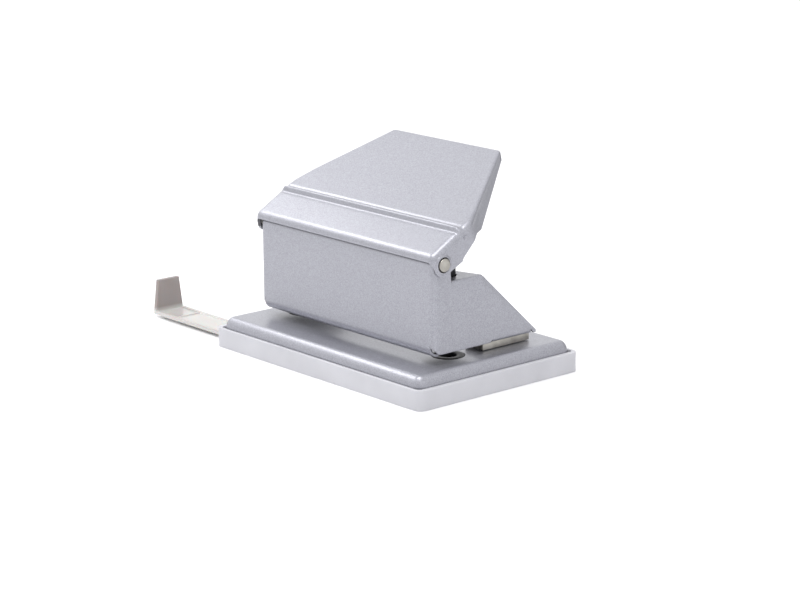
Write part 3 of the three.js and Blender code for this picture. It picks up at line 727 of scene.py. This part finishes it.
def side_top(y):
    """The side panel's upper edge: a round post for the axle, a step, a level run and the slope down."""
    offset = y - axle_middle.y
    if y <= post_y:
        if abs(offset) < PIVOT_SETBACK:
            return axle_middle.z + math.sqrt(PIVOT_SETBACK**2 - offset**2)
        return axle_middle.z - 1.5 * max(0, offset - PIVOT_SETBACK)
    if y <= slope_top_y:
        return BODY_TOP
    return max(SIDE_FOOT + REAR_LIP, BODY_TOP - (y - slope_top_y) * math.tan(math.radians(REAR_SLOPE)))


def body_shell():
    sheet = Sheet()
    roll_z = slot_top + FRONT_ROLL
    corner_y = front_y + BODY_CORNER
    tip_y = corner_y + 0.7
    corner_turns = [math.pi / 2 * i / 8 for i in range(9)]

    # Stations round the plan: place, outward normal, and how far the top leans back over the axle.
    stations = []
    side_places = spread(corner_y, post_y, 0.45) + [post_y + 0.03]
    slope_end_y = slope_top_y + TOP_BEND / math.tan(math.radians(REAR_SLOPE))
    side_places += spread(post_y + 0.5, slope_top_y, 1.2) + spread(slope_top_y, slope_end_y, 0.3)[1:]
    side_places += spread(slope_end_y, rear_y, 1.2)[1:]
    for y in reversed(side_places):
        stations.append((Vector((-body_half, y)), Vector((-1, 0)), "side"))
    for turn in corner_turns[1:-1]:
        normal = Vector((-math.cos(turn), -math.sin(turn)))
        centre = Vector((BODY_CORNER - body_half, corner_y))
        stations.append((centre + normal * BODY_CORNER, normal, "corner"))
    flat = body_half - BODY_CORNER
    for x in [-flat, -flat + 0.8, -40, -30, -15, 0, 15, 30, 40, flat - 0.8, flat]:
        stations.append((Vector((x, front_y)), Vector((0, -1)), "front"))
    for turn in reversed(corner_turns[1:-1]):
        normal = Vector((math.cos(turn), -math.sin(turn)))
        centre = Vector((body_half - BODY_CORNER, corner_y))
        stations.append((centre + normal * BODY_CORNER, normal, "corner"))
    for y in side_places:
        stations.append((Vector((body_half, y)), Vector((1, 0)), "side"))

    def panel_point(place, normal, z):
        """A point of the outer skin at height z, and its twin; the front's top leans back over the axle."""
        lean = min(max((z - lip_foot + 1.5) / TOP_TURN, 0), 0.999)
        back = TOP_TURN * (1 - math.sqrt(1 - lean * lean)) * abs(normal.y)
        outer = place - normal * back
        tilt = Vector((normal.x, normal.y, lean * abs(normal.y))).normalized()
        inner = Vector((outer.x, outer.y, z)) - tilt * BODY_SHEET
        return (outer.x, outer.y, z), inner

    top_rows, foot_rows, columns = [], [], []
    lower_steps = 5
    for place, normal, kind in stations:
        front_top = lip_foot - 1.5 + TOP_TURN * 0.96
        if kind == "front":
            top = front_top
        elif kind == "corner":
            top = front_top + (side_top(corner_y) - front_top) * (1 - abs(normal.y))
        else:
            top = side_top(place.y)
        bends_in = kind == "side" and post_y < place.y <= slope_end_y
        if bends_in:
            top = min(top, BODY_TOP - TOP_BEND)
        break_z = min(SLIT_TOP, top)
        if kind == "side" and place.y > slope_top_y:
            break_z = min(SLIT_TOP, SIDE_FOOT + 0.55 * (top - SIDE_FOOT))
        turn_low = min(top, lip_foot - 1.6)
        heights = [top + (turn_low - top) * k / 7 for k in range(7)]
        heights += [turn_low + (break_z - turn_low) * k / 4 for k in range(5)]
        upper = [sheet.point(*panel_point(place, normal, z)) for z in heights]
        if bends_in:
            twin = sheet.inner[upper[0]]
            twin.z = min(twin.z, BODY_TOP - BODY_SHEET - INNER_BEND)
        columns.append((place, normal, kind, upper, break_z, bends_in))

    sheet.quads([c[3] for c in columns])

    # Lower part of each side panel, with its slanted front tip, and the flange riveted to the base.
    seam_from, seam_to = stop_low.y + 1, rear_y - SEAM_END_GAP
    for side in (-1, 1):
        picked = [c for c in columns if c[2] in ("side", "corner") and c[0].x * side > 0]
        lower_columns = []
        for place, normal, kind, upper, break_z, _ in picked:
            slant = abs(normal.y) if kind == "corner" else 0
            foot = SIDE_FOOT + FRONT_TIP_LIFT * (1 - smooth(place.y, tip_y - 1.2, tip_y + 0.6))
            foot += (SLIT_TOP - SIDE_FOOT - 0.9) * slant
            bent = kind == "side" and seam_from <= place.y <= seam_to
            if bent:
                foot = SIDE_FOOT + FLANGE_BEND
            column = [upper[-1]]
            for k in range(1, lower_steps + 1):
                z = break_z + (foot - break_z) * k / lower_steps
                outer = (place.x, place.y, z)
                inner = (place.x - normal.x * BODY_SHEET, place.y - normal.y * BODY_SHEET, z)
                column.append(sheet.point(outer, inner))
            if bent:
                for k in range(1, 6):
                    a = math.pi / 2 * k / 5
                    x = side * (body_half - FLANGE_BEND + FLANGE_BEND * math.cos(a))
                    z = foot - FLANGE_BEND * math.sin(a)
                    inner_r = FLANGE_BEND - BODY_SHEET
                    xi = side * (body_half - FLANGE_BEND + inner_r * math.cos(a))
                    column.append(sheet.point((x, place.y, z), (xi, place.y, foot - inner_r * math.sin(a))))
                for x in (body_half - 4, body_half - SEAM_FLANGE):
                    outer = (side * x, place.y, SIDE_FOOT)
                    column.append(sheet.point(outer, (side * x, place.y, SIDE_FOOT + BODY_SHEET)))
            lower_columns.append(column)
        for near, far in zip(lower_columns, lower_columns[1:]):
            shared = min(len(near), len(far))
            sheet.quads([near[:shared], far[:shared]])

        # Upper flange, bent in from the level run; its inner corner is clipped.
        flange_columns = []
        for place, normal, kind, upper, _, bends_in in picked:
            if not bends_in:
                continue
            column = []
            rise = min(max((side_top(place.y) - BODY_TOP) / TOP_BEND + 1, 0.02), 1)
            turned_in = math.asin(rise)
            bend_x, bend_z = body_half - TOP_BEND, BODY_TOP - TOP_BEND
            inner_x, inner_z = body_half - BODY_SHEET - INNER_BEND, BODY_TOP - BODY_SHEET - INNER_BEND
            clip = smooth(place.y, slope_top_y - 4.5, slope_top_y)
            reach = GUIDE_FLANGE - (GUIDE_FLANGE - 2) * clip * 0.9
            for x in (body_half - reach, body_half - reach * 0.6, inner_x - 0.1):
                if place.y <= slope_top_y:
                    outer = (side * x, place.y, BODY_TOP)
                    inner = (side * x, place.y, BODY_TOP - BODY_SHEET)
                else:
                    across = bend_x + TOP_BEND * math.cos(turned_in)
                    outer = (side * across, place.y, bend_z + TOP_BEND * rise)
                    across = inner_x + INNER_BEND * math.cos(turned_in)
                    inner = (side * across, place.y, inner_z + INNER_BEND * rise)
                column.append(sheet.point(outer, inner))
            for k in range(5, 0, -1):
                a = turned_in * k / 5
                x = side * (bend_x + TOP_BEND * math.cos(a))
                xi = side * (inner_x + INNER_BEND * math.cos(a))
                zi = inner_z + INNER_BEND * math.sin(a)
                column.append(sheet.point((x, place.y, bend_z + TOP_BEND * math.sin(a)), (xi, place.y, zi)))
            column.append(upper[0])
            flange_columns.append(column)
        sheet.quads(flange_columns)

    # Front panel below the slit: a short flat, the rolled edge and its land. It ends in a clean cut.
    front = [c for c in columns if c[2] == "front"]
    reach = body_half - ROLL_END_GAP
    roll_columns = []
    for i, (place, normal, kind, upper, break_z, _) in enumerate(front):
        column = [upper[-1]]
        x = place.x
        if i in (0, len(front) - 1):
            x = math.copysign(reach, x)
        profile = [(front_y, roll_z + (break_z - roll_z) * 0.5, 0)]
        for k in range(13):
            profile.append((None, None, math.pi / 2 * k / 12))
        for y, z, a in profile:
            if y is None:
                y = front_y + FRONT_ROLL * (1 - math.cos(a))
                z = roll_z - FRONT_ROLL * math.sin(a)
            inner = (x, y + BODY_SHEET * math.cos(a), z + BODY_SHEET * math.sin(a))
            column.append(sheet.point((x, y, z), inner))
        land_y = front_y + FRONT_ROLL + ROLL_LAND
        column.append(sheet.point((x, land_y, slot_top), (x, land_y, slot_top + BODY_SHEET)))
        roll_columns.append(column)
    sheet.quads(roll_columns)
    return sheet.solid("body_pressing")


def body():
    shell = body_shell()
    cutters = []
    for _, side in SIDES:
        cutters.append(bore(AXLE_BORE, (side * body_half, axle_middle.y, axle_middle.z), axis="X"))
        cutters.append(bore(PIN_BORE, (side * pin_middle.x, pin_middle.y, BODY_TOP)))
        for rivet in RIVET_PLACES:
            cutters.append(bore(RIVET_BORE, (side * rivet.x, rivet.y, SIDE_FOOT)))
    cut(shell, cutters)
    bevelled(shell, BODY_ARRIS, angle=62, clamp=False)
    place_piece(shell, "frame", "lacquered_steel", "body_shell")
    # Painted shade on the body shell's inner skin.
    paint_shade_inside(shell, (0, 1, 27))


# ---- Base plate ----
PLATE_SHEET = 1.2
SHOULDER_OUT = 3.3
SHOULDER_DROP = 4.2
PLATE_CORNER = 0.6


def ring_points(half_x, half_y, radius, z, steps=8):
    """A level rectangle with round corners."""
    line = []
    for cx, cy, start in ((1, 1, 0), (-1, 1, 1), (-1, -1, 2), (1, -1, 3)):
        for i in range(steps + 1):
            a = math.pi / 2 * (start + i / steps)
            x = cx * (half_x - radius) + radius * math.cos(a)
            y = cy * (half_y - radius) + radius * math.sin(a)
            line.append(Vector((x, y, z)))
    return line


def base_plate():
    points, faces = [], []
    shoulder = []
    for i in range(15):
        a = math.pi / 2 * i / 14
        shoulder.append((SHOULDER_OUT * math.sin(a), SHOULDER_DROP * (1 - math.cos(a))))

    def pan(inset):
        start = len(points)
        rings = []
        for out, drop in shoulder:
            half_x = plate_high.x - SHOULDER_OUT + out - inset
            half_y = plate_high.y - SHOULDER_OUT + out - inset
            corner = max(PLATE_CORNER + out - inset, 0.3)
            rings.append(ring_points(half_x, half_y, corner, plate_top - inset - drop))
        corner = PLATE_CORNER + SHOULDER_OUT - inset
        rings.append(ring_points(plate_high.x - inset, plate_high.y - inset, corner, plate_low.z))
        count = len(rings[0])
        for ring in rings:
            points.extend(ring)
        top = list(range(start, start + count))
        faces.append(tuple(top))
        for j in range(len(rings) - 1):
            for i in range(count):
                k = (i + 1) % count
                a, b = start + j * count, start + (j + 1) * count
                faces.append((a + i, b + i, b + k, a + k))
        return start + (len(rings) - 1) * count, count

    outer_foot, count = pan(0)
    inner_foot, _ = pan(PLATE_SHEET)
    for i in range(count):
        k = (i + 1) % count
        faces.append((outer_foot + i, inner_foot + i, inner_foot + k, outer_foot + k))
    plate = mesh_object("base_pressing", points, faces)
    bevelled(plate, 0.2, angle=62)
    cutters = []
    for _, side in SIDES:
        cutters.append(bore(DIE_BORE, (side * pin_middle.x, pin_middle.y, plate_top)))
        for rivet in RIVET_PLACES:
            cutters.append(bore(RIVET_BORE, (side * rivet.x, rivet.y, plate_top)))
    cut(plate, cutters)
    place_piece(plate, "frame", "lacquered_steel", "base_plate")


# ---- Plastic pieces ----
def chip_tray():
    tray = softened("chip_tray_moulding", "chip_tray", 0.35, segments=3, angle=32)
    place_piece(tray, "tray", "tray_plastic", "chip_tray")


def paper_gauge():
    gauge = softened("gauge_moulding", "paper_gauge", 0.3, segments=3, angle=32)
    place_piece(gauge, "gauge", "gauge_plastic", "paper_gauge")


# ---- Pins, springs and clips ----
SPRING_WIRE = 0.9
SPRING_TURNS = 6
PIN_RADIUS = 2.75
PIN_HEAD_RADIUS = 3.8
PIN_HEAD_HEIGHT = 2.4
PIN_GROOVE = 0.3


def punch_pins():
    clip_low, clip_high = corners("spring_clip_right")
    spring_low, spring_high = corners("spring_right")
    spring_radius = (spring_high.x - spring_low.x - SPRING_WIRE) / 2
    for name, side in SIDES:
        x, y = side * pin_middle.x, pin_middle.y
        head_foot = pin_high.z - PIN_HEAD_HEIGHT
        profile = [(0, pin_low.z + 1.0), (PIN_RADIUS - 0.25, pin_low.z + 0.08), (PIN_RADIUS, pin_low.z)]
        profile += [(PIN_RADIUS, clip_low.z - 0.3), (PIN_RADIUS - PIN_GROOVE, clip_low.z - 0.25)]
        profile += [(PIN_RADIUS - PIN_GROOVE, clip_high.z + 0.25), (PIN_RADIUS, clip_high.z + 0.3)]
        profile += [(PIN_RADIUS, head_foot - 0.3), (PIN_RADIUS + 0.3, head_foot)]
        profile += [(3.65, head_foot), (PIN_HEAD_RADIUS, head_foot + 0.15), (PIN_HEAD_RADIUS, pin_high.z - 0.7)]
        profile += [(3.7, pin_high.z - 0.35), (3.4, pin_high.z - 0.12), (2.9, pin_high.z), (0, pin_high.z)]
        pin = turned("punch_pin_" + name, profile, (x, y, 0))
        place_piece(pin, "punch_" + name, "black_steel", "pin_" + name)

        low, high = spring_low.z + SPRING_WIRE / 2, spring_high.z - SPRING_WIRE / 2
        line = []
        steps = SPRING_TURNS * 36
        for i in range(steps + 1):
            t = i / steps
            a = 2 * math.pi * SPRING_TURNS * t
            rise = smooth(t, 0.04, 0.96) * 0.35 + 0.65 * min(max((t - 0.06) / 0.88, 0), 1)
            round_x, round_y = x + spring_radius * math.cos(a), y + spring_radius * math.sin(a)
            line.append(Vector((round_x, round_y, low + (high - low) * rise)))
        spring = tube("return_spring_" + name, line, SPRING_WIRE / 2)
        place_piece(spring, "frame", "spring_steel", "spring_" + name)
        for node, body in (("spring_clip_" + name, "punch_" + name), ("axle_clip_" + name, "frame")):
            place_piece(softened(node + "_stamping", node, 0.12, 2), body, "spring_steel", node)


# ---- Axle, press bar, dies, stops, rivets and guides ----
AXLE_RADIUS = 2.375
BAR_RADIUS = 2.25
DIE_RADIUS = 6.0
DIE_FLANGE_RADIUS = 7.6
DIE_FLANGE_HEIGHT = 1.2
RIVET_HEAD = 1.1


def small_steel():
    y, z = axle_middle.y, axle_middle.z
    clip_outer = corners("axle_clip_right")[1].x + 0.3
    clip_inner = corners("axle_clip_right")[0].x - 0.3
    radius = AXLE_RADIUS
    half = [(radius, 0), (radius, clip_inner), (radius - 0.3, clip_inner + 0.05)]
    half += [(radius - 0.3, clip_outer - 0.05), (radius, clip_outer)]
    half += [(radius, axle_half - 0.4), (radius - 0.12, axle_half - 0.15), (radius - 0.4, axle_half - 0.03)]
    half += [(radius - 1.0, axle_half), (0, axle_half)]
    profile = [(r, -h) for r, h in reversed(half)] + half[1:]
    place_piece(turned("axle_pin", profile, (0, y, z), axis="X"), "frame", "zinc_steel", "axle")

    bar = [(0, -bar_half), *rounded_step(BAR_RADIUS, -bar_half, bar_half, 0.4), (0, bar_half)]
    bar_piece = turned("press_bar_turning", bar, (0, bar_middle.y, bar_middle.z), axis="X")
    place_piece(bar_piece, "handle", "zinc_steel", "press_bar")

    for name, side in SIDES:
        low, high = corners("die_" + name)
        x, y = (low.x + high.x) / 2, (low.y + high.y) / 2
        flange_top = low.z + DIE_FLANGE_HEIGHT
        ring = [(PIN_BORE, low.z), (DIE_FLANGE_RADIUS, low.z), (DIE_FLANGE_RADIUS, flange_top)]
        ring += [(DIE_RADIUS, flange_top), (DIE_RADIUS, high.z - 0.25), (DIE_RADIUS - 0.15, high.z - 0.07)]
        ring += [(DIE_RADIUS - 0.4, high.z), (PIN_BORE + 0.3, high.z), (PIN_BORE, high.z - 0.2)]
        die = turned("die_" + name + "_turning", ring, (x, y, 0))
        # The dies are coloured near-black: painted shade for the hollow under the side panel's foot.
        place_piece(die, "frame", "zinc_steel", "die_" + name, finish=DIE_PAINTED_SHADE)

        stop = softened("paper_stop_" + name + "_block", "paper_stop_" + name, 0.3, 3)
        place_piece(stop, "frame", "zinc_steel", "paper_stop_" + name)
        # The pin guides get the dark painted-shade grey, not zinc, so the hollow under the body reads dark.
        guide = softened("pin_guide_" + name + "_stamping", "pin_guide_" + name, 0.25, 3)
        place_piece(guide, "frame", "zinc_steel", "pin_guide_" + name, finish=INSIDE_PAINTED_SHADE)

        for place in ("front", "rear"):
            node = "rivet_" + name + "_" + place
            low, high = corners(node)
            x, y = (low.x + high.x) / 2, (low.y + high.y) / 2
            dome = [(3.4 * math.cos(a), math.sin(a)) for a in [math.pi / 2 * i / 6 for i in range(7)]]
            shank_low, shank_high = low.z + RIVET_HEAD, high.z - RIVET_HEAD
            profile = [(r, shank_low - RIVET_HEAD * h) for r, h in reversed(dome)]
            profile += [(2.0, shank_low), (2.0, shank_high)]
            profile += [(r, shank_high + RIVET_HEAD * h) for r, h in dome]
            place_piece(turned(node + "_domed", profile, (x, y, 0)), "frame", "zinc_steel", node)


# ---- Studio ----
# The room's brightness by direction: towards, cosine range, and what it adds from low to high.
ROOM_GLOW = (
    ((0, 0, 1), -1, 1, 1.0, 1.04),
    ((-0.73, -0.1, 0.66), 0.3, 1, 0, 0.15),
    ((0.1, 1, -0.05), 0.6, 1, 0, -0.5),
    ((0.9, 0.1, 0.2), 0.1, 1, 0, 0.15),
)


def area_light(name, place, target, size, power):
    data = bpy.data.lights.new(name, "AREA")
    data.shape = "RECTANGLE"
    data.size, data.size_y = size
    data.energy = power
    obj = collection_add(bpy.data.objects.new(name, data))
    obj.location = place
    obj.rotation_euler = (Vector(target) - Vector(place)).to_track_quat("-Z", "Y").to_euler()
    return obj


def studio():
    half = 4.0
    floor = mesh_object(
        "studio_floor",
        [(x * half / MM, y * half / MM, -0.05) for x, y in ((-1, -1), (1, -1), (1, 1), (-1, 1))],
        [(0, 1, 2, 3)],
    )
    floor.data.materials.append(white_gloss_floor())
    world = bpy.data.worlds.new("studio")
    bpy.context.scene.world = world
    world.use_nodes = True
    tree = world.node_tree
    heading = add_node(tree, "TexCoord", {}).outputs["Generated"]
    strength = None
    for toward, low, high, least, most in ROOM_GLOW:
        aim = Vector(toward).normalized()
        facing = add_node(tree, "VectorMath", {0: heading, 1: aim}, {"operation": "DOT_PRODUCT"})
        span = {"Value": facing.outputs["Value"], "From Min": low, "From Max": high}
        span |= {"To Min": least, "To Max": most}
        glow = add_node(tree, "MapRange", span, {"interpolation_type": "SMOOTHERSTEP"}).outputs["Result"]
        if strength is not None:
            glow = add_node(tree, "Math", {0: strength, 1: glow}, {"operation": "ADD"}).outputs["Value"]
        strength = glow
    set_inputs(tree, tree.nodes["Background"], {"Color": linear("#fefeff"), "Strength": strength})
    bpy.context.scene.view_settings.view_transform = "Standard"
    target = (0, 0, 0.04)
    area_light("left_softbox", (-0.5, -0.2, 0.52), target, (0.5, 0.12), 1.15)
    area_light("overhead_softbox", (0.12, -0.2, 0.8), target, (0.34, 0.24), 2.3)


camera()
lever()
body()
base_plate()
chip_tray()
paper_gauge()
punch_pins()
small_steel()
studio()
